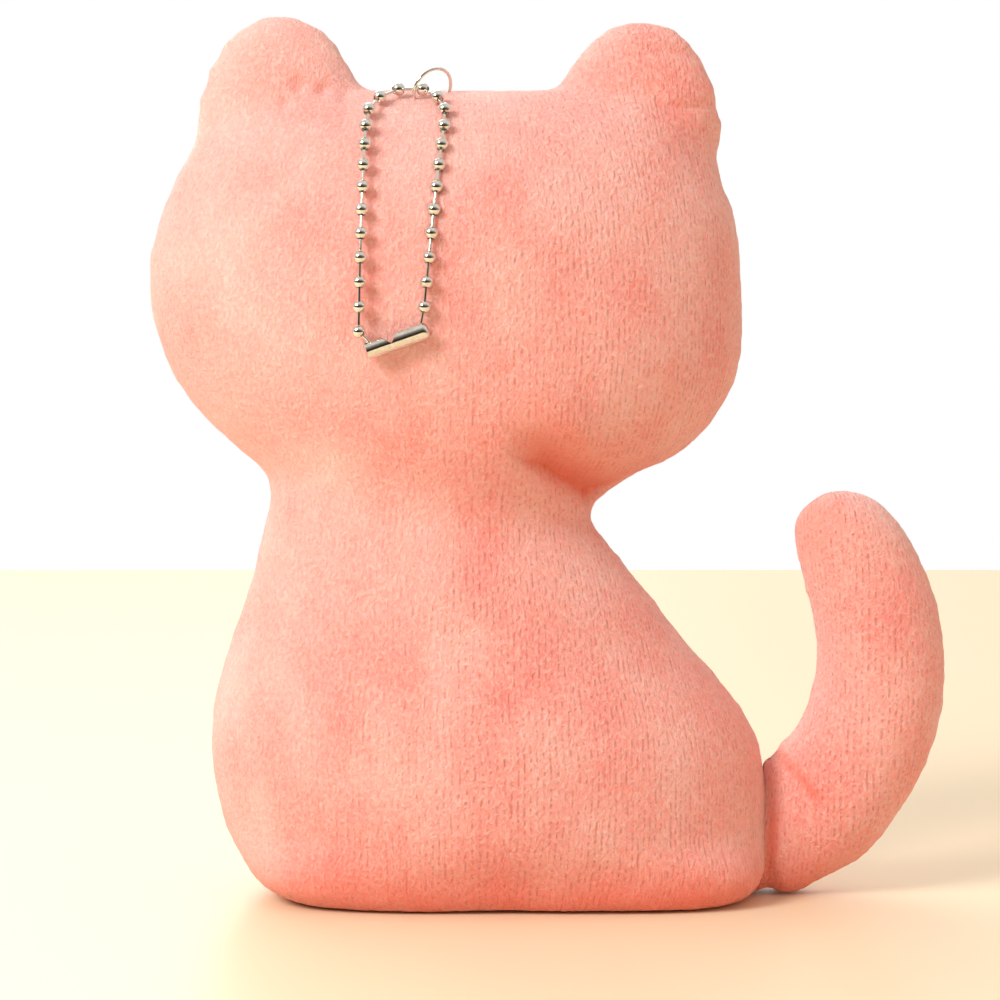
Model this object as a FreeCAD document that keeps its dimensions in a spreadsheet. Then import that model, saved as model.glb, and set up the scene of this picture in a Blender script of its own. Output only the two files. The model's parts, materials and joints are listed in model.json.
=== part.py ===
"""Sitting plush cat with a ball chain: fabric panels, filling, tail, stitching, jump ring and chain.

The frame: origin at the centre of the flat base, +Z up, the cat's face towards +Y and the chain
lying on the back of its head, on the -Y side. Millimetres.
"""

import FreeCAD, Part
import math
import os

DOC = FreeCAD.newDocument("plush_keychain")
SHEET = DOC.addObject("Spreadsheet::Sheet", "Sizes")

# The driving dimensions, one cell each.
SIZES = {
    # fabric and filling
    "fabric_thickness": 1.2,
    "filling_gap": 0.25,
    "panel_gap": 0.3,
    "stitch_depth": 0.35,
    "stitch_width": 0.5,
    "stitch_thickness": 0.2,
    # crown of the head, a half ellipse from the side
    "head_centre": 109.0,
    "head_rise": 41.3,
    "head_depth": 28.0,
    # ears
    "ear_width": 17.0,
    "ear_depth": 8.5,
    "ear_base": 140.0,
    "left_ear_x": -47.8,
    "left_ear_rise": 23.4,
    "left_ear_lean": -3.0,
    "right_ear_x": 16.8,
    "right_ear_rise": 22.6,
    "right_ear_lean": 8.0,
    # flat base
    "base_width": 38.0,
    "base_depth": 16.0,
    # tail, which is sewn flat into the right side
    "tail_seam_x": 43.1,
    "tail_seam_low": 4.0,
    "tail_seam_high": 24.0,
    "tail_thread_radius": 0.12,
    # embroidery on the face
    "embroidery_low": 0.05,
    "embroidery_high": 0.5,
    "face_x": -17.0,
    "eye_spread": 19.0,
    "eye_z": 112.0,
    "eye_width": 4.2,
    "eye_height": 5.2,
    "nose_z": 104.0,
    "nose_width": 3.0,
    "nose_height": 2.0,
    "mouth_z": 98.5,
    "mouth_radius": 3.0,
    "mouth_thread": 0.9,
    # jump ring and the stitch that holds it
    "ring_radius": 4.0,
    "ring_wire": 0.3,
    "ring_sweep": 354.0,
    "ring_x": -20.17,
    "ring_y": -8.0,
    "ring_z": 149.6,
    "ring_turn": 39.0,
    "ring_tilt": -26.5,
    "dimple_radius": 4.6,
    "anchor_radius": 0.35,
    "anchor_length": 6.7,
    "anchor_drop": 3.0,
    # ball chain
    "bead_radius": 1.2,
    "bead_wall": 0.22,
    "bead_hole": 0.65,
    "bead_pitch": 4.35,
    "bead_clearance": 0.25,
    "rod_radius": 0.25,
    "rod_length": 3.55,
    "rivet_radius": 0.7,
    "rivet_thickness": 0.16,
    "chain_start": 9.5,
    "chain_x": -24.1,
    "chain_drift": 0.25,
    "chain_width": 7.0,
    "chain_taper": 0.16,
    # connector, with its notch at a part of its length
    "connector_length": 11.4,
    "connector_radius": 1.6,
    "connector_wall": 0.3,
    "connector_fillet": 0.9,
    "connector_slot": 1.2,
    "notch_size": 2.7,
    "notch_depth": 1.7,
    "notch_place": 0.4,
}

# Levels of the body and head: height, centre, half width, half depth.
# A half depth of None lies on the crown's ellipse.
LEVELS = [
    (0.0, 0.0, 40.0, 18.0),
    (2.5, -4.0, 45.5, 21.5),
    (8.0, -7.0, 49.8, 25.0),
    (18.0, -9.2, 51.9, 27.5),
    (28.0, -10.6, 51.8, 28.0),
    (40.0, -13.7, 47.3, 26.5),
    (53.0, -16.8, 39.8, 23.8),
    (65.0, -19.9, 33.3, 21.0),
    (73.0, -21.1, 30.7, 19.5),
    (78.0, -18.3, 33.8, 20.5),
    (84.0, -15.2, 42.3, 23.3),
    (93.0, -15.6, 50.2, 26.2),
    (106.0, -17.2, 54.9, None),
    (119.0, -17.6, 55.3, None),
    (132.0, -17.3, 52.5, None),
    (141.0, -16.3, 47.5, None),
    (147.0, -16.0, 39.0, None),
    (150.1, -16.0, 24.0, None),
]

# Stations of the tail from root to tip: x, z, half width, half depth, heading in degrees.
TAIL = [
    (43.4, 14.0, 12.8, 3.0, 0.0),
    (48.5, 14.8, 13.2, 8.5, 14.0),
    (54.0, 18.6, 12.9, 10.5, 35.0),
    (59.3, 26.0, 12.4, 11.0, 57.0),
    (62.7, 35.0, 12.3, 11.0, 76.0),
    (63.4, 45.3, 11.9, 10.7, 91.0),
    (62.1, 54.0, 11.6, 10.3, 100.0),
    (59.4, 61.5, 11.0, 9.8, 110.0),
    (56.2, 67.8, 9.4, 8.6, 118.0),
    (53.4, 72.2, 6.0, 5.6, 123.0),
    (52.0, 74.2, 2.4, 2.2, 125.0),
]

# Half widths of the chain's loop where it spreads out below the ring.
SPREAD = [2.18, 5.2, 6.8]
ROWS = 13

# Larger than the cat: the reach of the blocks that trim it.
REACH = 400
# The bars that trim the embroidery start inside the head, this far in front of the seam plane.
BAR_START = 5
# Keeps a cutting tool's face off the face that it opens.
OVERCUT = 0.01
ACROSS = FreeCAD.Vector(1, 0, 0)
ALONG_Y = FreeCAD.Vector(0, 1, 0)
UP = FreeCAD.Vector(0, 0, 1)

NODES = []


def crown_depth(height):
    """Half depth of the head at a height on the crown's ellipse."""
    rise = (height - SIZES["head_centre"]) / SIZES["head_rise"]
    return SIZES["head_depth"] * math.sqrt(1 - rise**2)


def fill_sheet():
    """Put every driving dimension, level and station in its own named cell."""
    cells = dict(SIZES)
    for number, (height, centre, width, depth) in enumerate(LEVELS, 1):
        cells[f"level_{number}_height"] = height
        cells[f"level_{number}_centre"] = centre
        cells[f"level_{number}_width"] = width
        cells[f"level_{number}_depth"] = depth if depth else crown_depth(height)
    for number, (x, z, width, depth, heading) in enumerate(TAIL, 1):
        cells[f"station_{number}_x"] = x
        cells[f"station_{number}_z"] = z
        cells[f"station_{number}_width"] = width
        cells[f"station_{number}_depth"] = depth
        cells[f"station_{number}_heading"] = heading
    for row, (alias, value) in enumerate(cells.items(), 1):
        SHEET.set(f"A{row}", alias)
        SHEET.set(f"B{row}", str(value))
        SHEET.setAlias(f"B{row}", alias)
    DOC.recompute()


def size(alias):
    """A driving dimension as a number."""
    return float(SHEET.get(alias))


def add(kind, name, **formulas):
    """A document object whose properties are bound to formulas over the sheet's cells."""
    item = DOC.addObject(kind, name)
    for name_of_property, formula in formulas.items():
        item.setExpression(name_of_property.replace("__", "."), formula)
    return item


def cut(name, base, tool):
    """The base without the tool."""
    item = DOC.addObject("Part::Cut", name)
    item.Base = base
    item.Tool = tool
    return item


def common(name, base, tool):
    """The overlap of two shapes."""
    item = DOC.addObject("Part::Common", name)
    item.Base = base
    item.Tool = tool
    return item


def fuse(name, shapes):
    """Several shapes as one solid."""
    item = DOC.addObject("Part::MultiFuse", name)
    item.Shapes = shapes
    return item


def group(name, shapes):
    """Separate solids that share one node."""
    item = DOC.addObject("Part::Compound", name)
    item.Links = shapes
    return item


def node(item, label):
    """Give a finished sub-part the label that names its file."""
    item.Label = label
    NODES.append(item)
    return item


def place(item, position, direction=UP):
    """Put an item at a position with its own Z axis along a direction."""
    item.Placement = FreeCAD.Placement(position, FreeCAD.Rotation(UP, direction))
    return item


# ---------------------------------------------------------------- plush forms


def end_sign(number, count):
    """1 for the first section and -1 for the last, which are drawn in along the form as well."""
    return int(number == 1) - int(number == count)


def body_loft(name, inset):
    """The body and head as one loft, drawn in from the outer surface by inset."""
    rings = []
    for number in range(1, len(LEVELS) + 1):
        level = f"Sizes.level_{number}"
        sign = end_sign(number, len(LEVELS))
        ring = add(
            "Part::Ellipse",
            f"{name}_level_{number}",
            MajorRadius=f"{level}_width - {inset}",
            MinorRadius=f"{level}_depth - {inset}",
            Placement__Base__x=f"{level}_centre",
            Placement__Base__z=f"{level}_height + {sign} * ({inset})",
        )
        rings.append(ring)
    loft = DOC.addObject("Part::Loft", name)
    loft.Sections = rings
    loft.Solid = True
    return loft


def ear(name, side, inset):
    """One ear: the upper part of an ellipsoid that leans outwards."""
    item = add(
        "Part::Ellipsoid",
        name,
        Radius1=f"Sizes.{side}_ear_rise - {inset}",
        Radius2=f"Sizes.ear_width - {inset}",
        Radius3=f"Sizes.ear_depth - {inset}",
    )
    position = FreeCAD.Vector(size(f"{side}_ear_x"), 0, size("ear_base"))
    turn = FreeCAD.Rotation(ALONG_Y, size(f"{side}_ear_lean"))
    item.Placement = FreeCAD.Placement(position, turn)
    return item


def cat_form(name, inset):
    """Body, head and ears as one solid, drawn in by inset."""
    ears = [ear(f"{name}_{side}_ear", side, inset) for side in ("left", "right")]
    return fuse(name, [body_loft(f"{name}_loft", inset)] + ears)


def tail_form(name, inset):
    """The curved tail as one loft, drawn in by inset."""
    rings = []
    for number in range(1, len(TAIL) + 1):
        station = f"Sizes.station_{number}"
        heading = size(f"station_{number}_heading")
        shift = f"{end_sign(number, len(TAIL))} * ({inset})"
        ring = add(
            "Part::Ellipse",
            f"{name}_station_{number}",
            MajorRadius=f"{station}_width - {inset}",
            MinorRadius=f"{station}_depth - {inset}",
        )
        turn = FreeCAD.Rotation(ALONG_Y, 90 - heading)
        ring.Placement = FreeCAD.Placement(FreeCAD.Vector(), turn)
        ring.setExpression("Placement.Base.x", f"{station}_x + {shift} * cos({heading})")
        ring.setExpression("Placement.Base.z", f"{station}_z + {shift} * sin({heading})")
        rings.append(ring)
    loft = DOC.addObject("Part::Loft", name)
    loft.Sections = rings
    loft.Solid = True
    return loft


def half_space(name, side):
    """A large block on the front or back side of the seam plane."""
    block = add("Part::Box", name, Width=f"{REACH / 2} - Sizes.panel_gap / 2")
    block.Length = REACH
    block.Height = REACH
    block.Placement.Base = FreeCAD.Vector(-REACH / 2, 0, -REACH / 4)
    start = "Sizes.panel_gap / 2" if side == "front" else f"{-REACH / 2}"
    block.setExpression("Placement.Base.y", start)
    return block


def seam_slab(name):
    """The thin slab in the seam plane that a row of stitches fills."""
    slab = add(
        "Part::Box",
        name,
        Width="Sizes.stitch_thickness",
        Placement__Base__y="-Sizes.stitch_thickness / 2",
    )
    slab.Length = REACH
    slab.Height = REACH
    slab.Placement.Base.x = -REACH / 2
    slab.Placement.Base.z = -REACH / 4
    return slab


def seam_stitching(name, form):
    """The line of stitches between two panels, inside their thickness."""
    outer = form(f"{name}_outer", "Sizes.stitch_depth")
    inner = form(f"{name}_inner", "(Sizes.stitch_depth + Sizes.stitch_width)")
    band = cut(f"{name}_band", outer, inner)
    return common(name, band, seam_slab(f"{name}_slab"))


# ---------------------------------------------------------------- fabric pieces


def base_oval(name, extra, height, bottom="0"):
    """A flat oval disc the size of the base, wider by extra."""
    oval = add(
        "Part::Ellipse",
        f"{name}_oval",
        MajorRadius=f"Sizes.base_width + {extra}",
        MinorRadius=f"Sizes.base_depth + {extra}",
        Placement__Base__z=bottom,
    )
    disc = add("Part::Extrusion", name, LengthFwd=height)
    disc.Base = oval
    disc.DirMode = "Custom"
    disc.Dir = UP
    disc.Solid = True
    return disc


def dimple(name):
    """The hollow in the crown in which the jump ring turns."""
    ball = add("Part::Sphere", name, Radius="Sizes.dimple_radius")
    return place(ball, ring_centre())


def add_panels():
    """Back and front panels, each a shell with its half of the head, ears and body."""
    skin = cut("skin", cat_form("skin_outer", "0"), cat_form("skin_inner", "Sizes.fabric_thickness"))
    opening = base_oval(
        "base_opening", "Sizes.panel_gap", f"Sizes.fabric_thickness + {OVERCUT}", f"{-OVERCUT}"
    )
    open_skin = cut("open_skin", skin, opening)
    back = common("back_half", open_skin, half_space("back_space", "back"))
    node(cut("back_shell", back, dimple("panel_dimple")), "back_panel")
    node(common("front_shell", open_skin, half_space("front_space", "front")), "front_panel")
    seam_end = base_oval("seam_end", "2 * Sizes.panel_gap", "2 * Sizes.fabric_thickness", f"{-OVERCUT}")
    node(cut("side_seam_run", seam_stitching("side_seam", cat_form), seam_end), "side_seam_stitching")


def add_filling():
    """The filling of the body and head, one solid inside the panels."""
    inset = "(Sizes.fabric_thickness + Sizes.filling_gap)"
    floor = base_oval(
        "filling_floor",
        "4 * Sizes.fabric_thickness",
        "2 * Sizes.fabric_thickness + Sizes.filling_gap",
        "-Sizes.fabric_thickness",
    )
    holes = [dimple("filling_dimple"), anchor("anchor_hole", "Sizes.panel_gap"), floor]
    filling = cut("filling", cat_form("filling_form", inset), fuse("filling_holes", holes))
    node(filling, "body_stuffing")


def add_base():
    """The flat oval base and the stitches round it."""
    node(base_oval("gusset", "0", "Sizes.fabric_thickness"), "base_gusset")
    low = "Sizes.fabric_thickness / 3"
    outer = base_oval("base_ring_outer", "Sizes.panel_gap * 0.75", low, low)
    inner = base_oval("base_ring_inner", "Sizes.panel_gap * 0.25", low, low)
    node(cut("base_ring", outer, inner), "base_seam_stitching")


def add_tail():
    """Tail: two shells, their filling, their stitches and the thread that holds the root."""
    skin = cut("tail_skin", tail_form("tail_outer", "0"), tail_form("tail_inner", "Sizes.fabric_thickness"))
    node(common("tail_back", skin, half_space("tail_back_space", "back")), "tail_back_panel")
    node(common("tail_front", skin, half_space("tail_front_space", "front")), "tail_front_panel")
    node(tail_form("tail_fill", "(Sizes.fabric_thickness + Sizes.filling_gap)"), "tail_stuffing")
    node(seam_stitching("tail_seam", tail_form), "tail_seam_stitching")
    thread = add(
        "Part::Cylinder",
        "root_thread",
        Radius="Sizes.tail_thread_radius",
        Height="Sizes.tail_seam_high - Sizes.tail_seam_low",
        Placement__Base__x="Sizes.tail_seam_x",
        Placement__Base__z="Sizes.tail_seam_low",
    )
    node(thread, "tail_root_stitching")


# ---------------------------------------------------------------- embroidery


def oval_bar(name, x, z, width, height):
    """An oval bar along +Y that trims a patch of embroidery."""
    wide, tall = max(width, height), min(width, height)
    upright = FreeCAD.Rotation(ACROSS, 90)
    if height > width:
        upright = upright * FreeCAD.Rotation(UP, 90)
    oval = DOC.addObject("Part::Ellipse", f"{name}_oval")
    oval.MajorRadius = wide
    oval.MinorRadius = tall
    oval.Placement = FreeCAD.Placement(FreeCAD.Vector(x, BAR_START, z), upright)
    bar = DOC.addObject("Part::Extrusion", f"{name}_bar")
    bar.Base = oval
    bar.DirMode = "Custom"
    bar.Dir = ALONG_Y
    bar.LengthFwd = size("head_depth")
    bar.Solid = True
    return bar


def mouth_bars():
    """Two small arcs side by side under the nose, as bars along +Y."""
    bars = []
    for side in (-1, 1):
        tube = []
        for name, radius in (("outer", "+"), ("inner", "-")):
            tube.append(
                add(
                    "Part::Cylinder",
                    f"mouth_{name}_{side + 1}",
                    Radius=f"Sizes.mouth_radius {radius} Sizes.mouth_thread / 2",
                )
            )
            tube[-1].Height = size("head_depth")
            tube[-1].Angle = 180
            x = size("face_x") + side * (size("mouth_radius") + size("mouth_thread"))
            turn = FreeCAD.Rotation(ACROSS, -90)
            corner = FreeCAD.Vector(x, BAR_START, size("mouth_z"))
            tube[-1].Placement = FreeCAD.Placement(corner, turn)
        bars.append(cut(f"mouth_bar_{side + 1}", *tube))
    return bars


def add_face():
    """Eyes, nose and mouth: thin patches of satin stitch on the front of the head."""
    high = body_loft("stitch_layer_high", "(-Sizes.embroidery_high)")
    low = body_loft("stitch_layer_low", "(-Sizes.embroidery_low)")
    layer = cut("stitch_layer", high, low)
    middle = size("face_x")
    for label, side in (("left_eye", -1), ("right_eye", 1)):
        x = middle + side * size("eye_spread")
        bar = oval_bar(label, x, size("eye_z"), size("eye_width"), size("eye_height"))
        node(common(f"{label}_patch", layer, bar), label)
    bar = oval_bar("nose", middle, size("nose_z"), size("nose_width"), size("nose_height"))
    node(common("nose_patch", layer, bar), "nose")
    arcs = [common(f"mouth_arc_{i}", layer, bar) for i, bar in enumerate(mouth_bars())]
    node(group("mouth_arcs", arcs), "mouth")


# ---------------------------------------------------------------- jump ring


def ring_centre():
    """Centre of the jump ring, just above the crown."""
    return FreeCAD.Vector(size("ring_x"), size("ring_y"), size("ring_z"))


def ring_normal():
    """Direction square to the jump ring's plane."""
    turn = math.radians(size("ring_turn"))
    tilt = math.radians(size("ring_tilt"))
    flat = math.cos(tilt)
    return FreeCAD.Vector(flat * math.sin(turn), -flat * math.cos(turn), math.sin(tilt))


def anchor(name, extra):
    """The stitch through the jump ring, thicker and longer by extra."""
    direction = FreeCAD.Vector(0.4, -0.9, -0.15).normalize()
    middle = ring_centre() - UP * size("anchor_drop")
    stitch = add(
        "Part::Cylinder",
        name,
        Radius=f"Sizes.anchor_radius + {extra}",
        Height=f"Sizes.anchor_length + {extra}",
    )
    return place(stitch, middle - direction * (size("anchor_length") / 2), direction)


def add_ring():
    """The open wire ring and the stitch through it that holds it to the crown."""
    ring = add(
        "Part::Torus",
        "ring",
        Radius1="Sizes.ring_radius",
        Radius2="Sizes.ring_wire",
        Angle3="Sizes.ring_sweep",
    )
    node(place(ring, ring_centre(), ring_normal()), "jump_ring")
    node(anchor("anchor", "0"), "anchor_stitch")


# ---------------------------------------------------------------- ball chain


def half_spread(row):
    """Half the distance between the two strands at a row of the chain."""
    if row < len(SPREAD):
        return SPREAD[row]
    return size("chain_width") - size("chain_taper") * (row - len(SPREAD))


def chain_rows():
    """Left and right bead centres of each row, stepping down the back of the head."""
    offset = size("bead_radius") + size("bead_clearance")
    deep = size("head_depth") + offset
    tall = size("head_rise") + offset
    angle = math.asin(size("chain_start") / deep)
    rows = []
    for row in range(ROWS):
        y = -deep * math.sin(angle)
        z = size("head_centre") + tall * math.cos(angle)
        middle = size("chain_x") - size("chain_drift") * row
        half = half_spread(row)
        rows.append((FreeCAD.Vector(middle - half, y, z), FreeCAD.Vector(middle + half, y, z)))
        widening = half_spread(row + 1) - half
        step = math.sqrt(size("bead_pitch") ** 2 - widening**2)
        speed = math.hypot(deep * math.cos(angle), tall * math.sin(angle))
        middle_angle = angle + step / speed / 2
        speed = math.hypot(deep * math.cos(middle_angle), tall * math.sin(middle_angle))
        angle += step / speed
    return rows


def bead(label, centre, direction):
    """A hollow bead with a hole at each end of its axis."""
    shell = add("Part::Sphere", f"{label}_ball", Radius="Sizes.bead_radius")
    hollow = add("Part::Sphere", f"{label}_hollow", Radius="Sizes.bead_radius - Sizes.bead_wall")
    holes = add(
        "Part::Cylinder",
        f"{label}_holes",
        Radius="Sizes.bead_hole",
        Height="4 * Sizes.bead_radius",
        Placement__Base__z="-2 * Sizes.bead_radius",
    )
    item = cut(f"{label}_bead", shell, fuse(f"{label}_inside", [hollow, holes]))
    return node(place(item, centre, direction), label)


def link(name, start, end):
    """A rod between two beads, with a rivet head inside each."""
    rod = add(
        "Part::Cylinder",
        f"{name}_rod",
        Radius="Sizes.rod_radius",
        Height="Sizes.rod_length",
        Placement__Base__z="-Sizes.rod_length / 2",
    )
    heads = []
    for end_name, sign in (("low", "-"), ("high", "+")):
        heads.append(
            add(
                "Part::Cylinder",
                f"{name}_{end_name}",
                Radius="Sizes.rivet_radius",
                Height="Sizes.rivet_thickness",
                Placement__Base__z=f"{sign} Sizes.rod_length / 2 - Sizes.rivet_thickness / 2",
            )
        )
    return place(fuse(name, [rod] + heads), (start + end) / 2, end - start)


def bead_axis(before, centre, after):
    """A bead turns so that its two links leave it at the same angle."""
    incoming = (centre - before).normalize()
    outgoing = (after - centre).normalize()
    return incoming + outgoing


def connector_ends(rows):
    """Centres of the two beads held inside the connector."""
    last_left, last_right = rows[-1]
    left = last_left + FreeCAD.Vector(3.0, -0.2, -2.9)
    right = FreeCAD.Vector(last_right.x - 0.45, left.y, last_right.z - 0.2)
    return left, right


def add_chain():
    """Thirteen rows of beads on two strands, the links between them and the two held beads."""
    rows = chain_rows()
    held = connector_ends(rows)
    strands = [
        [row[0] for row in rows] + [held[0]],
        [row[1] for row in rows[:-1]] + [held[1]],
    ]
    tops = [strands[1][0], strands[0][0]]
    for side, strand, opposite in zip(("left", "right"), strands, tops):
        path = [opposite] + strand
        for row in range(len(strand) - 1):
            axis = bead_axis(path[row], path[row + 1], path[row + 2])
            bead(f"{side}_bead_{row:02d}", strand[row], axis)
        bead(f"{side}_held_bead", strand[-1], strand[-1] - strand[-2])
    node(link("top", strands[0][0], strands[1][0]), "link_00")
    for row in range(1, ROWS):
        pair = [
            link(f"{side}_link_{row:02d}", strand[row - 1], strand[row])
            for side, strand in zip(("left", "right"), strands)
        ]
        node(group(f"pair_{row:02d}", pair), f"links_{row:02d}")
    node(link("last", strands[0][-2], strands[0][-1]), "link_13")
    add_connector(held)


def add_connector(held):
    """Rolled metal sleeve: a hollow barrel with a slot along its top and a notch to open it."""
    left, right = held
    barrel = add(
        "Part::Cylinder",
        "connector_barrel",
        Radius="Sizes.connector_radius",
        Height="Sizes.connector_length",
    )
    rounded = DOC.addObject("Part::Fillet", "connector_rounded")
    rounded.Base = barrel
    radius = size("connector_fillet")
    rounded.Edges = [(1, radius, radius), (3, radius, radius)]
    bore = add(
        "Part::Cylinder",
        "connector_bore",
        Radius="Sizes.connector_radius - Sizes.connector_wall",
        Height="Sizes.connector_length - 2 * Sizes.connector_wall",
        Placement__Base__z="Sizes.connector_wall",
    )
    slot = add(
        "Part::Box",
        "connector_slot",
        Length="Sizes.connector_slot",
        Width="2 * Sizes.connector_radius",
        Height="Sizes.connector_length + 2",
        Placement__Base__x="-Sizes.connector_slot / 2",
        Placement__Base__z="-1",
    )
    notch = add(
        "Part::Box",
        "connector_notch",
        Length="4 * Sizes.connector_radius",
        Width="Sizes.notch_size",
        Height="Sizes.notch_size",
    )
    corner = FreeCAD.Vector(-2 * size("connector_radius"), -size("notch_depth"), 0)
    corner.y += size("connector_radius")
    corner.z = size("notch_place") * size("connector_length")
    notch.Placement = FreeCAD.Placement(corner, FreeCAD.Rotation(ACROSS, -45))
    inside = fuse("connector_inside", [bore, slot, notch])
    sleeve = cut("connector_sleeve", rounded, inside)
    axis = (right - left).normalize()
    middle = (left + right) / 2
    start = middle - axis * (size("connector_length") / 2)
    above = axis.cross(ALONG_Y)
    sleeve.Placement = FreeCAD.Placement(start, FreeCAD.Rotation(ALONG_Y, above, axis, "ZYX"))
    node(sleeve, "connector")


# ---------------------------------------------------------------- build and write


def check_document():
    """Stop if any object failed or any sub-part has no valid solid."""
    for item in DOC.Objects:
        bad = [word for word in item.State if word in ("Invalid", "Error")]
        if bad:
            raise RuntimeError(f"{item.Name} is {bad}")
    for item in NODES:
        shape = item.Shape
        if shape.isNull() or not shape.isValid() or not shape.Solids:
            raise RuntimeError(f"{item.Label} has no valid solid")


def write_parts():
    """Write each sub-part to its own file."""
    os.makedirs("parts", exist_ok=True)
    for item in NODES:
        item.Shape.exportStep(f"parts/{item.Label}.step")


def main():
    fill_sheet()
    add_panels()
    add_filling()
    add_base()
    add_tail()
    add_face()
    add_ring()
    add_chain()
    DOC.recompute()
    check_document()
    write_parts()
    for item in NODES:
        box = item.Shape.BoundBox
        print(item.Label, len(item.Shape.Solids), round(item.Shape.Volume, 2), box)


main()
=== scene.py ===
"""Looks of the plush cat keychain: soft pile skin, curled tail, stitched face, ball chain."""

import json
import math

import bmesh
import bpy
import numpy as np
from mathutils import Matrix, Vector, noise
from mathutils.bvhtree import BVHTree


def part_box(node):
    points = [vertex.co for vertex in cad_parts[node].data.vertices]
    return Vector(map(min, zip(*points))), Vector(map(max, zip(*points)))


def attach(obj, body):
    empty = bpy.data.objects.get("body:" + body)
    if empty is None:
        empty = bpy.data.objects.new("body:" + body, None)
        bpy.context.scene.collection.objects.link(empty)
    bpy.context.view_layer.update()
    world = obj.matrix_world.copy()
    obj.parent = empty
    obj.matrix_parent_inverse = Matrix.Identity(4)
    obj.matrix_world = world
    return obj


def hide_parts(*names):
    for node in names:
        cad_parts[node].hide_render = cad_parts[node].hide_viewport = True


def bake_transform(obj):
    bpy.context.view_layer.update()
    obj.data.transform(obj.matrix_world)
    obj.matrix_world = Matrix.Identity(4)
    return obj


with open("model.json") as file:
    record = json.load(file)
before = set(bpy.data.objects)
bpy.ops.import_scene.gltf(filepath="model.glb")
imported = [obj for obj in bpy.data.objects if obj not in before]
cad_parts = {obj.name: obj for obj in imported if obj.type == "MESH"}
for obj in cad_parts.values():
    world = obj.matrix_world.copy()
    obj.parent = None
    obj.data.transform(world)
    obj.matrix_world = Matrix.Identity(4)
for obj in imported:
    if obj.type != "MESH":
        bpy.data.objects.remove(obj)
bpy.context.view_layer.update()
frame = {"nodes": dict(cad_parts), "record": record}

MM = 0.001
SKIN = 1.45 * MM  # from the filling's surface out to the fabric's
WALE = 1.25  # mm between two rows of pile
HEAD_Z = 109 * MM  # the middle of the head
FOOT_X = -4.5 * MM  # the middle of the foot
REST_GAP = 0.15 * MM  # how far the cover's lowest point stays above the ground
STITCH = (2.0 * MM, 0.8 * MM, 0.3 * MM)  # a seam stitch: its length, the gap after it, how deep it sinks
SEAM_THREAD = 0.2 * MM  # radius
SATIN_THREAD = 0.27 * MM  # radius
MOUTH_THREAD = 0.36 * MM  # radius
SEAM_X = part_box("tail_root_stitching")[0].x
# Where the cover stands in from the filling's form: side, height, reach and how far, in mm.
SETTLED = [(-1, 133, 7, 1.0), (1, 128, 11, 1.3), (-1, 81, 8, 1.0), (1, 61, 5, 1.5), (-1, 3, 3, -1.2)]


# ---------------------------------------------------------------- mesh helpers


def middle_of(node):
    """The centre of a CAD node's box."""
    low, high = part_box(node)
    return (low + high) / 2


def new_object(name, mesh):
    """A new object of a mesh, in the scene."""
    item = bpy.data.objects.new(name, mesh)
    bpy.context.scene.collection.objects.link(item)
    return item


def points(item):
    """The vertex positions as an array."""
    flat = np.empty(len(item.data.vertices) * 3, np.float32)
    item.data.vertices.foreach_get("co", flat)
    return flat.reshape(-1, 3).astype(np.float64)


def normals(item):
    """The vertex normals as an array."""
    flat = np.empty(len(item.data.vertices) * 3, np.float32)
    item.data.vertices.foreach_get("normal", flat)
    return flat.reshape(-1, 3).astype(np.float64)


def move(item, positions):
    """Put the vertices at new positions."""
    item.data.vertices.foreach_set("co", positions.astype(np.float32).ravel())
    item.data.update()


def bake(item):
    """Apply every modifier of an object."""
    seen = item.evaluated_get(bpy.context.evaluated_depsgraph_get())
    mesh = bpy.data.meshes.new_from_object(seen)
    item.modifiers.clear()
    item.data = mesh
    return item


def remesh(item, voxel):
    """Rebuild a closed mesh from voxels of a size."""
    modifier = item.modifiers.new("voxels", "REMESH")
    modifier.mode = "VOXEL"
    modifier.voxel_size = voxel
    return bake(item)


def smooth(item, repeats):
    """Even out a mesh."""
    modifier = item.modifiers.new("even", "SMOOTH")
    modifier.factor = 0.5
    modifier.iterations = repeats
    return bake(item)


def subdivide(item):
    """One level of Catmull-Clark subdivision."""
    modifier = item.modifiers.new("finer", "SUBSURF")
    modifier.levels = 1
    modifier.render_levels = 1
    return bake(item)


def shade_smooth(item):
    """Smooth shading on every face."""
    item.data.polygons.foreach_set("use_smooth", [True] * len(item.data.polygons))
    item.data.update()


def front_and_mirror(node, name):
    """A CAD solid's front half and its mirror image, so that the ring's hollow is left out."""
    work = bmesh.new()
    work.from_mesh(frame["nodes"][node].data)
    bmesh.ops.remove_doubles(work, verts=work.verts, dist=0.002 * MM)
    everything = work.verts[:] + work.edges[:] + work.faces[:]
    bmesh.ops.bisect_plane(
        work, geom=everything, plane_co=(0, 0, 0), plane_no=(0, -1, 0), clear_outer=True
    )
    copied = bmesh.ops.duplicate(work, geom=work.verts[:] + work.edges[:] + work.faces[:])["geom"]
    bmesh.ops.scale(work, vec=(1, -1, 1), verts=[v for v in copied if isinstance(v, bmesh.types.BMVert)])
    bmesh.ops.reverse_faces(work, faces=[f for f in copied if isinstance(f, bmesh.types.BMFace)])
    bmesh.ops.remove_doubles(work, verts=work.verts, dist=0.02 * MM)
    mesh = bpy.data.meshes.new(name)
    work.to_mesh(mesh)
    work.free()
    return new_object(name, mesh)


def step(value, low, high):
    """0 below low, 1 above high, smooth between them."""
    t = np.clip((value - low) / (high - low), 0, 1)
    return t * t * (3 - 2 * t)


def spot(place, centre, radius):
    """1 at a centre, falling smoothly to 0 at a radius."""
    away = np.linalg.norm(place - np.array(centre), axis=1) / radius
    return step(1 - away, 0, 1)


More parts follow.
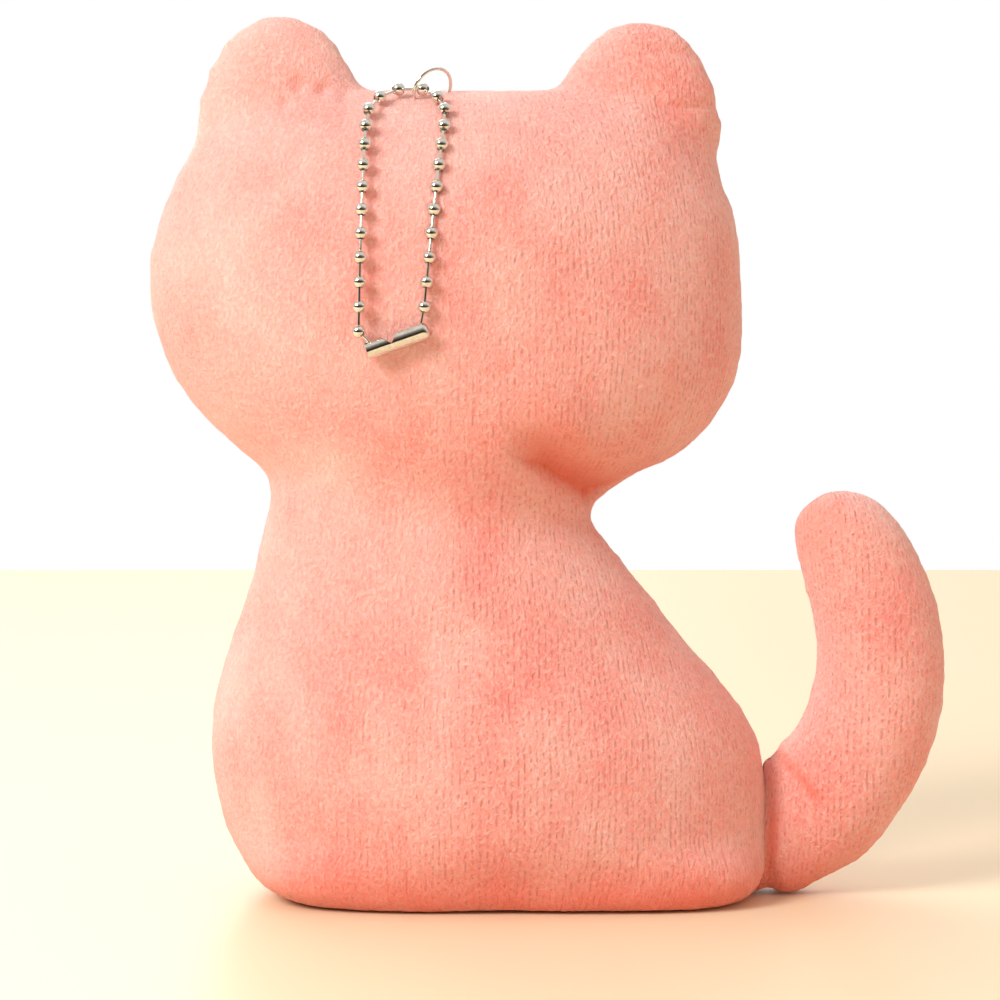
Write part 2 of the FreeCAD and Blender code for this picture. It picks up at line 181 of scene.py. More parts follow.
def cloud(place, scale, seed):
    """Smooth noise between about -1 and 1 at each position, at a scale in metres."""
    offset = Vector((seed * 7.3, seed * 3.1, seed * 5.7))
    return np.array([noise.noise(Vector(p) / scale + offset) for p in place])


def paint_values(item, name, values):
    """Keep a number at each vertex, for the material to read."""
    layer = item.data.attributes.new(name, "FLOAT", "POINT")
    layer.data.foreach_set("value", values.astype(np.float32))


# ---------------------------------------------------------------- fabric


def inflate(item, cap):
    """Fill the sewn cover as cloth: the seam holds, the panels swell, none moves more than the cap."""
    enlarge = 10.0  # cloth behaves badly on something this small
    before = points(item)
    move(item, before * enlarge)
    seam = item.vertex_groups.new(name="seam")
    held = np.flatnonzero(np.abs(before[:, 1]) < 1.0 * MM)
    seam.add([int(number) for number in held], 1.0, "REPLACE")
    modifier = item.modifiers.new("cloth", "CLOTH")
    cloth = modifier.settings
    cloth.quality = 6
    cloth.mass = 0.25
    cloth.tension_stiffness = 18
    cloth.compression_stiffness = 12
    cloth.shear_stiffness = 6
    cloth.bending_stiffness = 1.2
    cloth.vertex_group_mass = "seam"
    cloth.use_pressure = True
    cloth.uniform_pressure_force = 3.0
    cloth.effector_weights.gravity = 0
    modifier.point_cache.frame_start = 1
    modifier.point_cache.frame_end = 20
    for number in range(1, 21):
        bpy.context.scene.frame_set(number)
    bake(item)
    bpy.context.scene.frame_set(1)
    shift = points(item) / enlarge - before
    length = np.maximum(np.linalg.norm(shift, axis=1, keepdims=True), 1e-9)
    move(item, before + shift * np.minimum(1, cap / length))


def sewn_form(node, name, voxel, cap):
    """The fabric's smooth surface over a filled CAD solid."""
    form = front_and_mirror(node, name)
    remesh(form, voxel)
    smooth(form, 3)
    move(form, points(form) + normals(form) * SKIN)
    inflate(form, cap)
    return form


def lumps(item, size, height, seed):
    """Uneven filling under the fabric."""
    place = points(item)
    move(item, place + normals(item) * (cloud(place, size, seed) * height)[:, None])


def seam_groove(item, depth, width):
    """The fabric dips where the two panels meet, and puckers a little along the dip."""
    place = points(item)
    dip = np.exp(-((place[:, 1] / width) ** 2)) * depth
    pucker = cloud(place, 3.5 * MM, 5) * np.exp(-((place[:, 1] / (4 * width)) ** 2)) * depth * 0.5
    out = normals(item)
    out[:, 1] = 0
    move(item, place - out * (dip + pucker)[:, None])


def rows_round(place, middle, wide, deep):
    """How far each position is round a form, in mm, which the rows of pile follow."""
    x, y = place[:, 0] / MM, place[:, 1] / MM
    return x + 0.8 * (deep - np.abs(y)) * (x - middle) / wide


def pile(item, round_form, seed):
    """Short pile: broken upright rows and small clumps, as relief and as painted values, one of them a
    weight for the side in painted shade.
    """
    place = points(item)
    rows = round_form / WALE + cloud(place, 9 * MM, seed) * 0.5
    column = np.round(rows)
    valley = 1 - step(np.abs(rows - column), 0.0, 0.45)
    keys = np.stack([column * 2.1, place[:, 2] / (2.2 * MM), np.sign(place[:, 1]) * 3.0 + seed], axis=1)
    dash = step(np.array([noise.noise(Vector(key)) for key in keys]), -0.15, 0.35)
    shaded_side = shaded_side_weight(place, seed)
    clumps = cloud(place * np.array([1.0, 1.0, 0.6]), 1.0 * MM, seed + 1)
    height = clumps * (0.04 + 0.06 * shaded_side) - valley * dash * shaded_side * 0.07
    move(item, place + normals(item) * (height * MM)[:, None])
    paint_values(item, "rows", rows)
    paint_values(item, "shaded_side", shaded_side)


def shaded_side_weight(place, seed):
    """How far towards the side in painted shade, away from the key light: least at the upper left, most
    at the lower right.
    """
    x, z = place[:, 0] / MM, place[:, 2] / MM
    patches = cloud(place, 16 * MM, seed + 2) * 0.35
    return np.clip(0.18 + 0.9 * step(x - 0.25 * z + patches * 40, -75, 0), 0, 1)


def half_of(item, side, name):
    """One closed half of a form, cut at the seam plane."""
    work = bmesh.new()
    work.from_mesh(item.data)
    sign = -1 if side == "back" else 1
    cut = bmesh.ops.bisect_plane(
        work,
        geom=work.verts[:] + work.edges[:] + work.faces[:],
        plane_co=(0, sign * 0.01 * MM, 0),
        plane_no=(0, -sign, 0),
        clear_outer=True,
    )
    rim = [part for part in cut["geom_cut"] if isinstance(part, bmesh.types.BMEdge)]
    bmesh.ops.holes_fill(work, edges=rim, sides=0)
    mesh = bpy.data.meshes.new(name)
    work.to_mesh(mesh)
    work.free()
    half = new_object(name, mesh)
    shade_smooth(half)
    return half


# ---------------------------------------------------------------- body


def fill_out_base(item):
    """The body sits on a fuller, squarer foot than the filling's oval, and rests flat."""
    half_wide, half_deep = 47 * MM, 24 * MM
    power = 4.0  # 2 is an ellipse, and more is squarer
    place = points(item)
    low = 1 - step(place[:, 2], 2 * MM, 14 * MM)
    across = (place[:, 0] - FOOT_X) / half_wide
    deep = place[:, 1] / half_deep
    round_size = np.hypot(across, deep)
    square_size = (np.abs(across) ** power + np.abs(deep) ** power) ** (1 / power)
    grow = 1 + (round_size / np.maximum(square_size, 1e-6) - 1) * low
    foot = 1 - step(place[:, 2], 0, 6 * MM)
    place[:, 0] = FOOT_X + (across * half_wide) * (grow - 0.035 * foot)
    place[:, 1] *= grow + 0.02 * foot
    place[:, 2] = np.maximum(place[:, 2] - foot * MM, REST_GAP)
    move(item, place)


def settle(item):
    """The stuffed cover stands in or out a little from the filling's form, and its ears stand up."""
    place = points(item)
    tip = step(place[:, 2], 148 * MM, 163 * MM)
    left = place[:, 0] < -16 * MM
    place[:, 2] += tip * np.where(left, 1.1, 1.0) * MM
    for side, height, reach, inwards in SETTLED:
        outer = step(side * (place[:, 0] / MM + 16), 8, 30)
        near = np.exp(-(((place[:, 2] / MM - height) / reach) ** 2))
        place[:, 0] -= side * inwards * MM * outer * near
    chin = step(place[:, 0], 10 * MM, 20 * MM) * np.exp(-(((place[:, 2] / MM - 78) / 6) ** 2))
    place[:, 2] += chin * 0.9 * MM
    move(item, place)


def neck_fold(item):
    """The head hangs over the right shoulder, with a sharp deep crease under it. Returns painted shade
    for the crease and the fabric just above it.
    """
    place = points(item)
    reach = step(place[:, 0], -8 * MM, 2 * MM) * step(-place[:, 1], -3 * MM, 5 * MM)
    height, fall = 79.7 * MM, 0.634  # the crease's line: its height at x = 0 and its fall to the right
    square_on = 0.845  # turns a height over the sloping line into a distance from it
    above = (place[:, 2] - height + fall * place[:, 0]) * square_on / MM
    under = np.exp(-np.abs(above) / 1.1)
    over = np.exp(-((np.abs(above) / 5.0) ** 1.5))
    groove = np.where(above < 0, under, over) * reach
    inner = 1 - step(place[:, 0], 4 * MM, 15 * MM)
    lip = np.exp(-(((above - 10) / 4.5) ** 2)) * reach * inner
    out = normals(item)
    place = place + out * (lip * 1.3 - groove * 4.1)[:, None] * MM
    move(item, place)
    # Painted shade: darkest in the crease, fading out above it.
    shade = np.exp(-((np.abs(above) / 9.0) ** 2)) * 0.95
    return np.where(above < 0, np.exp(above / 0.5), shade) * reach


def ear_puckers(item):
    """Small tucks in the fabric at the foot of the left ear, and soft creases across the right one."""
    place = points(item)
    sink = np.zeros(len(place))
    tucks = ((-44.5, 150.5, 2.6), (-40.0, 149.6, 2.2), (-36.2, 148.4, 2.4), (-47.0, 147.0, 2.0))
    for x, z, radius in tucks:
        near = np.hypot(place[:, 0] - x * MM, place[:, 2] - z * MM) / (radius * MM)
        sink += step(1 - near, 0, 1) * 0.8
    for x, z, slope in ((27.0, 146.5, 0.06), (24.0, 156.5, -0.10)):
        line = place[:, 2] - z * MM - slope * (place[:, 0] - x * MM)
        along = step(1 - np.abs(place[:, 0] - x * MM) / (9 * MM), 0, 1)
        sink += np.exp(-((line / (1.0 * MM)) ** 2)) * along * 0.45
    behind = step(-place[:, 1], 0, 3 * MM)
    move(item, place - normals(item) * (sink * behind * MM)[:, None])


def press_in(item, centres, radius):
    """Dents in the cover under small round things that lie on the back of the head."""
    place = points(item)
    for centre in centres:
        out = np.array(Vector((0, centre.y, centre.z - HEAD_Z)).normalized())
        away = place - np.array(centre)
        height = away @ out
        across = np.sqrt(np.maximum((away**2).sum(axis=1) - height**2, 0))
        floor = across**2 / (2 * radius) - radius
        under = (across < 1.5 * radius) & (np.abs(height) < 3 * radius)
        place -= np.outer(np.where(under, np.maximum(height - floor, 0), 0), out)
    move(item, place)


def chain_dents(item):
    """Room for every bead and for the connector."""
    bead_room, sleeve_room = 1.4 * MM, 1.85 * MM
    beads = [middle_of(name) for name in frame["nodes"] if "_bead_" in name]
    press_in(item, beads, bead_room)
    left, right = middle_of("left_held_bead"), middle_of("right_held_bead")
    along = [left.lerp(right, -0.2 + 0.1 * number) for number in range(15)]
    press_in(item, along, sleeve_room)


def make_body():
    """The two body panels, as closed halves."""
    form = sewn_form("body_stuffing", "body_form", 2.15 * MM, 0.6 * MM)
    settle(form)
    fill_out_base(form)
    lumps(form, 20 * MM, 0.5 * MM, 3)
    subdivide(form)
    seam_groove(form, 0.7 * MM, 1.1 * MM)
    subdivide(form)
    deep = neck_fold(form)
    place = points(form)
    # Painted shade, kept as the 'deep' values: the neck's crease, darker towards the bottom and a little
    # more on the right.
    ground = 1 - step(place[:, 2], -2 * MM, 15 * MM)
    right = 0.8 + 0.2 * step(place[:, 0], 0, 35 * MM)
    paint_values(form, "deep", np.maximum(deep, ground * right))
    ear_puckers(form)
    pile(form, rows_round(points(form), -16, 50, 27), 11)
    chain_dents(form)
    panels = [half_of(form, side, f"plush_{side}_panel") for side in ("back", "front")]
    for panel, side in zip(panels, ("back", "front")):
        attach(panel, "plush")
        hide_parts(f"{side}_panel")
        give_material(panel, PLUSH)
    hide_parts("body_stuffing")
    return form, panels


# ---------------------------------------------------------------- tail


def root_of_tail(item):
    """The tail's root reaches into the body and widens towards the ground; the tip is blunt."""
    place = points(item)
    full = 10.5
    depth = np.clip(4.4 + 1.1 * (place[:, 0] - SEAM_X) / MM, 4.4, full)
    low = 1 - step(place[:, 2], 2 * MM, 22 * MM)
    place[:, 1] *= 1 + low * (full / depth - 1)
    near = 1 - step(place[:, 0], SEAM_X, SEAM_X + 5 * MM)
    place[:, 0] -= near * (3.0 + 4.0 * low) * MM
    beside = 1 - step(place[:, 0], SEAM_X - 2 * MM, SEAM_X + 12 * MM)
    foot = 1 - step(place[:, 2], 1 * MM, 12 * MM)
    place[:, 2] = np.maximum(place[:, 2] - beside * foot * 3.8 * MM, REST_GAP)
    tip = step(place[:, 2], 62 * MM, 72 * MM) * (1 - step(place[:, 0], 48 * MM, 62 * MM))
    place[:, 0] -= tip * MM
    move(item, place)


def tail_creases(item):
    """A dent along the root's seam and a slanting tuck above it. Returns painted shade for both."""
    place = points(item)
    seam = np.exp(-(((place[:, 0] - SEAM_X + 0.5 * MM) / (1.8 * MM)) ** 2))
    start, end = np.array((44.0, 27.0)) * MM, np.array((53.5, 16.5)) * MM
    line = end - start
    away = place[:, [0, 2]] - start
    along = (away @ line) / (line @ line)
    side = np.abs(away[:, 0] * line[1] - away[:, 1] * line[0]) / np.linalg.norm(line)
    tuck = np.exp(-((side / (1.1 * MM)) ** 2)) * step(along, -0.1, 0.1) * (1 - step(along, 0.6, 1.1))
    deep = seam * 1.1 + tuck * 0.7
    move(item, place - normals(item) * (deep * MM)[:, None])
    # Painted shade in the seam's dent, stronger towards the foot, and in the tuck.
    foot = 1 - step(place[:, 2], 10 * MM, 24 * MM)
    return np.clip(seam * (0.25 + 0.5 * foot) + tuck * 0.5, 0, 1)


def make_tail():
    """The tail's two halves, whose root is sewn in at the seam. Returns the whole form."""
    form = sewn_form("tail_stuffing", "tail_form", 1.5 * MM, 0.6 * MM)
    root_of_tail(form)
    lumps(form, 12 * MM, 0.35 * MM, 8)
    subdivide(form)
    seam_groove(form, 0.5 * MM, 0.9 * MM)
    subdivide(form)
    deep = tail_creases(form)
    place = points(form)
    # Painted shade, kept as the 'deep' values: darker towards the bottom, and a darker, redder patch
    # near the tip.
    ground = 0.9 - 0.9 * step(place[:, 2], -2 * MM, 14 * MM)
    dark_tip_patch = 0.35 * spot(place, (50 * MM, -6 * MM, 70 * MM), 13 * MM)
    paint_values(form, "deep", np.maximum.reduce([deep, ground, dark_tip_patch]))
    middle = 63 - 0.0085 * (place[:, 2] / MM - 42) ** 2
    pile(form, rows_round(place, middle, 12, 11), 31)
    halves = [half_of(form, side, f"plush_tail_{side}") for side in ("back", "front")]
    for half, side in zip(halves, ("back", "front")):
        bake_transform(half)
        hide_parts(f"tail_{side}_panel")
        give_material(half, PLUSH)
    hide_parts("tail_stuffing")
    return form


# ---------------------------------------------------------------- base


def make_base():
    """The oval fabric base: a thin closed pad with a soft rim."""
    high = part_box("base_gusset")[1]
    wide, deep, thick = high.x, high.y, high.z
    sides = 96
    work = bmesh.new()
    rings = []
    for size, z in ((0.5, 0.02), (0.9, 0.02), (0.985, 0.1), (1.0, 0.5), (0.985, 0.9), (0.5, 1.0)):
        turns = [2 * math.pi * number / sides for number in range(sides)]
        ring = [(wide * size * math.cos(t), deep * size * math.sin(t), thick * z) for t in turns]
        rings.append([work.verts.new(corner) for corner in ring])
    for lower, upper in zip(rings, rings[1:]):
        for number in range(sides):
            following = (number + 1) % sides
            work.faces.new((lower[number], lower[following], upper[following], upper[number]))
    work.faces.new(list(reversed(rings[0])))
    work.faces.new(rings[-1])
    mesh = bpy.data.meshes.new("base_pad")
    work.to_mesh(mesh)
    work.free()
    pad = new_object("base_pad", mesh)
    shade_smooth(pad)
    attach(pad, "plush")
    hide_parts("base_gusset")
    give_material(pad, BASE)


# ---------------------------------------------------------------- threads


def tube(work, path, radius, sides=6):
    """A closed thread along a path, rounded off at both ends."""
    frames = []
    for number, point in enumerate(path):
        ahead = path[min(number + 1, len(path) - 1)] - path[max(number - 1, 0)]
        axis = ahead.normalized()
        side = axis.orthogonal().normalized() if not frames else frames[-1][1]
        side = (side - axis * side.dot(axis)).normalized()
        frames.append((point, side, axis.cross(side)))
    rings = []
    for number, (point, side, up) in enumerate(frames):
        thin = 0.55 if number in (0, len(frames) - 1) else 1.0
        turns = [2 * math.pi * k / sides for k in range(sides)]
        ring = [point + (side * math.cos(t) + up * math.sin(t)) * radius * thin for t in turns]
        rings.append([work.verts.new(p) for p in ring])
    for lower, upper in zip(rings, rings[1:]):
        for k in range(sides):
            work.faces.new((lower[k], lower[(k + 1) % sides], upper[(k + 1) % sides], upper[k]))
    work.faces.new(list(reversed(rings[0])))
    work.faces.new(rings[-1])


def thread_piece(name, paths, radius, slot, material, body, *replaced):
    """One piece of many threads."""
    work = bmesh.new()
    for path in paths:
        tube(work, path, radius)
    mesh = bpy.data.meshes.new(name)
    work.to_mesh(mesh)
    work.free()
    item = new_object(name, mesh)
    shade_smooth(item)
    if body:
        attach(item, body)
    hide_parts(*replaced)
    give_material(item, material)
    return item


def on_face(tree, x, z, lift):
    """The point of the front skin at x and z, lifted off it."""
    hit, normal, _, _ = tree.ray_cast(Vector((x, 60 * MM, z)), Vector((0, -1, 0)))
    return hit + normal * lift


def satin(tree, middle, wide, tall, pitch=0.42 * MM):
    """Side by side upright stitches that fill an oval, padded up in its middle."""
    paths = []
    count = int(wide * 2 / pitch)
    for number in range(count + 1):
        offset = -wide + 2 * wide * number / count
        reach = tall * math.sqrt(max(1 - (offset / wide) ** 2, 0.02))
        reach *= 1 + 0.03 * math.sin(number * 2.4)
        path = []
        for k in range(9):
            rise = -reach + 2 * reach * k / 8
            crown = max(1 - (offset / wide) ** 2 - (rise / tall) ** 2, 0)
            lift = (0.1 + 0.75 * math.sqrt(crown)) * MM
            path.append(on_face(tree, middle.x + offset, middle.z + rise, lift))
        paths.append(path)
    return paths


def mouth_paths(tree):
    """Two small arcs of overlapping short stitches under the nose."""
    low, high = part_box("mouth")
    radius = (high.x - low.x) / 4 - 0.4 * MM
    paths = []
    for side in (-1, 1):
        centre_x = (low.x + high.x) / 2 + side * radius
        for number in range(9):
            path = []
            for k in range(4):
                turn = math.pi * (number + k * 0.5) / 10.5
                x = centre_x + radius * math.cos(turn)
                z = high.z - radius * math.sin(turn)
                path.append(on_face(tree, x, z, (0.25 + 0.2 * (k in (1, 2))) * MM))
            paths.append(path)
    return paths


def make_face(panel):
    """Embroidered eyes, nose and mouth."""
    work = bmesh.new()
    work.from_mesh(panel.data)
    tree = BVHTree.FromBMesh(work)
    work.free()
    for side in ("left", "right"):
        paths = satin(tree, middle_of(f"{side}_eye"), 4.2 * MM, 5.2 * MM)
        name = f"{side}_eye_satin"
        thread_piece(name, paths, SATIN_THREAD, "dark_embroidery", DARK, "plush", f"{side}_eye")
    paths = satin(tree, middle_of("nose"), 3.0 * MM, 2.0 * MM)
    thread_piece("nose_satin", paths, SATIN_THREAD, "nose_embroidery", ROSE, "plush", "nose")
    paths = mouth_paths(tree)
    thread_piece("mouth_stitches", paths, MOUTH_THREAD, "dark_embroidery", DARK, "plush", "mouth")


def seam_line(form):
    """The line round a form where the two panels meet, as points in order."""
    work = bmesh.new()
    work.from_mesh(form.data)
    geom = work.verts[:] + work.edges[:] + work.faces[:]
    cut = bmesh.ops.bisect_plane(
        work, geom=geom, plane_co=(0, 0, 0), plane_no=(0, 1, 0), clear_outer=True
    )
    rim = [part for part in cut["geom_cut"] if isinstance(part, bmesh.types.BMEdge)]
    beside = {}
    for edge in rim:
        first, second = edge.verts
        beside.setdefault(first, []).append(second)
        beside.setdefault(second, []).append(first)
    start = min(beside, key=lambda v: v.co.z)
    line, before, here = [start.co.copy()], None, start
    while True:
        onward = [v for v in beside[here] if v is not before]
        if not onward or onward[0] is start:
            break
        before, here = here, onward[0]
        line.append(here.co.copy())
    work.free()
    return line


def running_stitches(line, length, gap, depth):
    """Stitches along a line with gaps between, sunk below it."""
    middle = sum(line, Vector()) / len(line)
    paths, travelled, path = [], 0.0, []
    for before, point in zip(line, line[1:]):
        travelled += (point - before).length
        if travelled > length + gap:
            travelled = 0.0
        if travelled < length:
            path.append(point + (middle - point).normalized() * depth)
        elif path:
            if len(path) > 2:
                paths.append(path)
            path = []
    return paths


# ---------------------------------------------------------------- materials


class Nodes:
    """A material whose nodes are built by name."""

    def __init__(self, name):
        self.material = bpy.data.materials.new(name)
        self.material.use_nodes = True
        self.tree = self.material.node_tree
        self.shader = self.tree.nodes["Principled BSDF"]

    def add(self, kind, **settings):
        """A new node with its settings."""
        item = self.tree.nodes.new(kind)
        for key, value in settings.items():
            setattr(item, key, value)
        return item

    def feed(self, socket, value):
        """A link or a plain value into a socket."""
        if isinstance(value, bpy.types.NodeSocket):
            self.tree.links.new(value, socket)
        else:
            socket.default_value = value

    def math(self, operation, *values):
        """One sum on numbers."""
        item = self.add("ShaderNodeMath", operation=operation)
        for socket, value in zip(item.inputs, values):
            self.feed(socket, value)
        return item.outputs[0]

    def range(self, value, low, high, new_low=0.0, new_high=1.0):
        """A number moved smoothly from one range to another."""
        item = self.add("ShaderNodeMapRange", interpolation_type="SMOOTHSTEP")
        for socket, number in zip(item.inputs, (value, low, high, new_low, new_high)):
            self.feed(socket, number)
        return item.outputs[0]

    def vector(self, x, y, z):
        """Three numbers as one vector."""
        item = self.add("ShaderNodeCombineXYZ")
        for socket, value in zip(item.inputs, (x, y, z)):
            self.feed(socket, value)
        return item.outputs[0]

    def noise(self, vector, scale, detail=2.0, roughness=0.5):
        """Smooth noise between 0 and 1."""
        item = self.add("ShaderNodeTexNoise")
        self.feed(item.inputs["Vector"], vector)
        for name, value in (("Scale", scale), ("Detail", detail), ("Roughness", roughness)):
            item.inputs[name].default_value = value
        return item.outputs["Fac"]

    def value(self, name):
        """A number kept at each vertex."""
        return self.add("ShaderNodeAttribute", attribute_name=name).outputs["Fac"]

    def place(self):
        """Object coordinates in mm, as three numbers."""
        parts = self.add("ShaderNodeSeparateXYZ")
        self.feed(parts.inputs[0], self.add("ShaderNodeTexCoord").outputs["Object"])
        return [self.math("MULTIPLY", axis, 1000.0) for axis in parts.outputs]

    def ramp(self, value, *stops):
        """A colour from a number."""
        item = self.add("ShaderNodeValToRGB")
        while len(item.color_ramp.elements) < len(stops):
            item.color_ramp.elements.new(0.5)
        for element, (position, colour) in zip(item.color_ramp.elements, stops):
            element.position = position
            element.color = (*colour, 1)
        self.feed(item.inputs[0], value)
        return item.outputs[0]

    def blend(self, factor, first, second):
        """A mix of two colours."""
        item = self.add("ShaderNodeMix", data_type="RGBA")
        for place, value in ((0, factor), (6, first), (7, second)):
            self.feed(item.inputs[place], value)
        return item.outputs[2]

    def relief(self, height, distance, strength=1.0):
        """Fine bumps on the surface."""
        item = self.add("ShaderNodeBump")
        self.feed(item.inputs["Height"], height)
        item.inputs["Distance"].default_value = distance
        item.inputs["Strength"].default_value = strength
        self.feed(self.shader.inputs["Normal"], item.outputs[0])

    def set(self, **values):
        """Inputs of the shader, by name."""
        for key, value in values.items():
            self.feed(self.shader.inputs[key.replace("_", " ")], value)


def plush_material(name, pale, mid, deep):
    """Short pile: fine broken upright rows, fibres, patches and a pale sheen, with painted shade: dark
    dashes in the rows' valleys, darker towards the lower right, and darker, redder creases.
    """
    nodes = Nodes(name)
    x, y, z = nodes.place()
    rows = nodes.value("rows")
    column = nodes.math("ROUND", rows)
    off = nodes.math("ABSOLUTE", nodes.math("SUBTRACT", rows, column))
    valley = nodes.range(off, 0.0, 0.3, 1.0, 0.0)
    side = nodes.math("DIVIDE", y, 40.0)
    key = nodes.vector(nodes.math("MULTIPLY", column, 2.1), side, nodes.math("DIVIDE", z, 0.85))
    dash = nodes.range(nodes.noise(key, 1.0, 1.0), 0.42, 0.68)
    pits = nodes.math("MULTIPLY", nodes.math("MULTIPLY", valley, dash), nodes.value("shaded_side"))
    upright = nodes.vector(x, y, nodes.math("MULTIPLY", z, 0.7))
    fibres = nodes.range(nodes.noise(upright, 1.5, 3.0, 0.7), 0.3, 0.7)
    patches = nodes.noise(upright, 0.075, 3.0)
    shade = nodes.math("MULTIPLY_ADD", nodes.math("SUBTRACT", fibres, 0.5), 0.34, 0.55)
    shade = nodes.math("MULTIPLY_ADD", nodes.math("SUBTRACT", patches, 0.5), 0.9, shade)
    # Painted shade: darker towards the lower right, away from the key light.
    shade = nodes.math("MULTIPLY_ADD", nodes.value("shaded_side"), -0.12, shade)
    colour = nodes.ramp(shade, (0.1, deep), (0.45, mid), (0.85, pale))
    # Painted shade: the valleys between the pile rows darkened in dashes, more towards the lower right.
    gap = (0.60, 0.20, 0.15, 1)
    colour = nodes.blend(nodes.math("MULTIPLY", pits, 0.48), colour, gap)
    # The 'deep' values darken and redden: painted shade in creases, towards the bottom and on the right,
    # and a patch near the tail's tip.
    painted_shade_colour = (deep[0] * 0.95, deep[1] * 0.5, deep[2] * 0.28, 1)
    colour = nodes.blend(nodes.math("MULTIPLY", nodes.value("deep"), 0.85), colour, painted_shade_colour)
    nodes.set(Base_Color=colour, Roughness=0.92, Sheen_Weight=0.3, Sheen_Roughness=0.5)
    nodes.set(Subsurface_Weight=0.5, Subsurface_Scale=0.0026, Specular_IOR_Level=0.1)
    nodes.shader.inputs["Sheen Tint"].default_value = (1.0, 0.84, 0.76, 1)
    nodes.shader.inputs["Subsurface Radius"].default_value = (1.0, 0.3, 0.2)
    height = nodes.math("MULTIPLY_ADD", pits, -0.6, nodes.math("MULTIPLY", fibres, 0.75))
    nodes.relief(height, 0.0004, 0.9)
    return nodes.material


def metal_material(name, bright, dull, rough):
    """Bright plate with fine wear."""
    nodes = Nodes(name)
    x, y, z = nodes.place()
    wear = nodes.noise(nodes.vector(x, y, z), 1.6, 4.0)
    nodes.set(Base_Color=nodes.ramp(wear, (0.3, dull), (0.7, bright)), Metallic=1.0)
    nodes.set(Roughness=nodes.range(wear, 0.3, 0.7, rough * 1.6, rough * 0.7))
    nodes.relief(nodes.noise(nodes.vector(x, y, z), 9.0, 2.0), 0.000006, 0.4)
    return nodes.material


def thread_material(name, pale, dark, gloss):
    """Twisted thread with a soft gloss."""
    nodes = Nodes(name)
    x, y, z = nodes.place()
    slant = nodes.math("ADD", nodes.math("MULTIPLY", x, 9.0), nodes.math("MULTIPLY", z, 14.0))
    twist = nodes.math("SINE", slant)
    fine = nodes.noise(nodes.vector(x, y, z), 6.0, 3.0)
    shade = nodes.math("MULTIPLY_ADD", twist, 0.25, fine)
    nodes.set(Base_Color=nodes.ramp(shade, (0.2, dark), (0.8, pale)), Roughness=gloss, Sheen_Weight=0.3)
    nodes.relief(shade, 0.00008, 0.6)
    return nodes.material


def give_material(item, material):
    """One material on the whole of an object."""
    item.data.materials.clear()
    item.data.materials.append(material)


# ---------------------------------------------------------------- stage


def make_camera():
    """The camera behind the cat, a little above the middle of its back."""
    distance, rise = 520 * MM, math.radians(4)
    target = Vector((-7.85 * MM, 0, 74 * MM))
    back = Vector((0, -math.cos(rise), math.sin(rise)))
    data = bpy.data.cameras.new("camera")
    data.sensor_width = 36
    data.lens = 100.15
    data.clip_start = 0.01
    item = bpy.data.objects.new("camera", data)
    item.location = target + back * distance
    item.rotation_mode = "QUATERNION"
    item.rotation_quaternion = (-back).to_track_quat("-Z", "Y")
    bpy.context.scene.collection.objects.link(item)
    bpy.context.scene.camera = item


def area_light(name, place, size, power, colour):
    """A soft square light that looks at the middle of the cat."""
    data = bpy.data.lights.new(name, "AREA")
    data.size = size
    data.energy = power
    data.color = colour
    item = bpy.data.objects.new(name, data)
    item.location = place
    item.rotation_mode = "QUATERNION"
    item.rotation_quaternion = (Vector((0, 0, 0.08)) - Vector(place)).to_track_quat("-Z", "Y")
    item.visible_camera = False
    bpy.context.scene.collection.objects.link(item)
    return item


def make_floor():
    """A plain pale table top that ends some way behind the cat."""
    near, far, side = -0.5, 0.64, 3.0
    corners = [(-side, near, 0), (side, near, 0), (side, far, 0), (-side, far, 0)]
    mesh = bpy.data.meshes.new("floor")
    mesh.from_pydata(corners, [], [(0, 1, 2, 3)])
    floor = new_object("floor", mesh)
    floor.location.z = -0.0001
    nodes = Nodes("floor")
    nodes.set(Base_Color=(0.86, 0.70, 0.48, 1), Roughness=0.4, Specular_IOR_Level=0.3)
    give_material(floor, nodes.material)


def make_world():
    """Bright white behind the cat, bright overhead, and dim where the camera stands."""
    world = bpy.data.worlds.new("studio")
    bpy.context.scene.world = world
    world.use_nodes = True
    tree = world.node_tree
    parts = tree.nodes.new("ShaderNodeSeparateXYZ")
    tree.links.new(tree.nodes.new("ShaderNodeTexCoord").outputs["Generated"], parts.inputs[0])
    lift = tree.nodes.new("ShaderNodeMath")
    lift.operation = "MULTIPLY_ADD"
    tree.links.new(parts.outputs["Z"], lift.inputs[0])
    lift.inputs[1].default_value = 1.3
    tree.links.new(parts.outputs["Y"], lift.inputs[2])
    span = tree.nodes.new("ShaderNodeMapRange")
    tree.links.new(lift.outputs[0], span.inputs[0])
    span.inputs[1].default_value = -1.0
    ramp = tree.nodes.new("ShaderNodeValToRGB")
    tree.links.new(span.outputs[0], ramp.inputs[0])
    ramp.color_ramp.elements.new(0.5)
    stops = [(0.1, (0.04, 0.034, 0.030)), (0.45, (0.32, 0.26, 0.22)), (0.7, (0.78, 0.77, 0.75))]
    for element, (position, colour) in zip(ramp.color_ramp.elements, stops):
        element.position = position
        element.color = (*colour, 1)
    seen = tree.nodes.new("ShaderNodeLightPath").outputs["Is Camera Ray"]
    mix = tree.nodes.new("ShaderNodeMix")
    mix.data_type = "RGBA"
    tree.links.new(seen, mix.inputs[0])
    tree.links.new(ramp.outputs[0], mix.inputs[6])
    mix.inputs[7].default_value = (1, 1, 1, 1)
    tree.links.new(mix.outputs[2], tree.nodes["Background"].inputs["Color"])
    bpy.context.scene.view_settings.view_transform = "Standard"


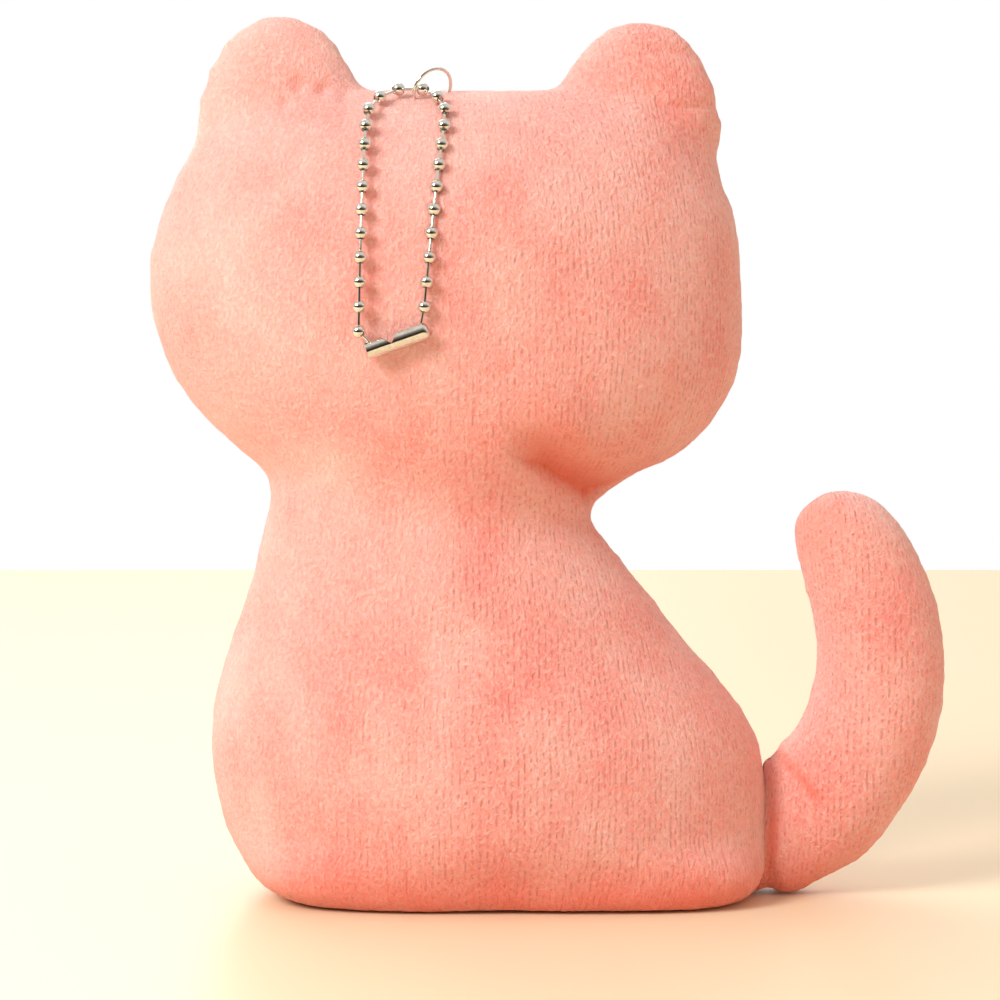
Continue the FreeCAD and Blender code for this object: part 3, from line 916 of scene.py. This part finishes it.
# ---------------------------------------------------------------- build

PLUSH = plush_material("plush_pile", (0.96, 0.62, 0.56), (0.94, 0.46, 0.41), (0.90, 0.29, 0.25))
BASE = plush_material("base_pile", (0.93, 0.58, 0.52), (0.90, 0.43, 0.38), (0.85, 0.27, 0.23))
METAL = metal_material("nickel_plate", (0.86, 0.84, 0.78), (0.70, 0.67, 0.58), 0.07)
THREAD = thread_material("sewing_thread", (0.90, 0.42, 0.34), (0.60, 0.20, 0.16), 0.6)
DARK = thread_material("dark_embroidery", (0.07, 0.045, 0.045), (0.015, 0.01, 0.01), 0.38)
ROSE = thread_material("nose_embroidery", (0.70, 0.16, 0.18), (0.40, 0.06, 0.08), 0.42)

make_camera()
make_floor()
make_world()
area_light("key", (-0.75, -0.65, 0.75), 0.45, 12.3, (1.0, 0.98, 0.96))
area_light("window", (-0.35, 1.0, 0.75), 1.0, 8.0, (1.0, 0.98, 0.95))
area_light("side", (0.7, -0.5, 0.15), 0.5, 1.1, (1.0, 0.55, 0.35)).visible_glossy = False
area_light("fill", (0.1, -1.3, 0.25), 1.2, 4.2, (1.0, 0.69, 0.54)).visible_glossy = False

body_form, body_panels = make_body()
tail_form = make_tail()
make_base()
make_face(body_panels[1])

body_seam = running_stitches(seam_line(body_form), *STITCH)
thread_piece(
    "side_seam_thread", body_seam, SEAM_THREAD, "sewing_thread", THREAD, "plush",
    "side_seam_stitching", "base_seam_stitching",
)
tail_seam = running_stitches(seam_line(tail_form), *STITCH)
tail_thread = thread_piece(
    "tail_seam_thread", tail_seam, SEAM_THREAD, "sewing_thread", THREAD, None, "tail_seam_stitching"
)
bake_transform(tail_thread)
for form in (body_form, tail_form):
    bpy.data.objects.remove(form)

CARRIED_OVER = {"sewing_thread": THREAD, "ring_wire": METAL, "chain_metal": METAL}
for part in frame["record"]["subparts"]:
    item = frame["nodes"][part["node"]]
    if part["material_slot"] in CARRIED_OVER:
        give_material(item, CARRIED_OVER[part["material_slot"]])
        shade_smooth(item)
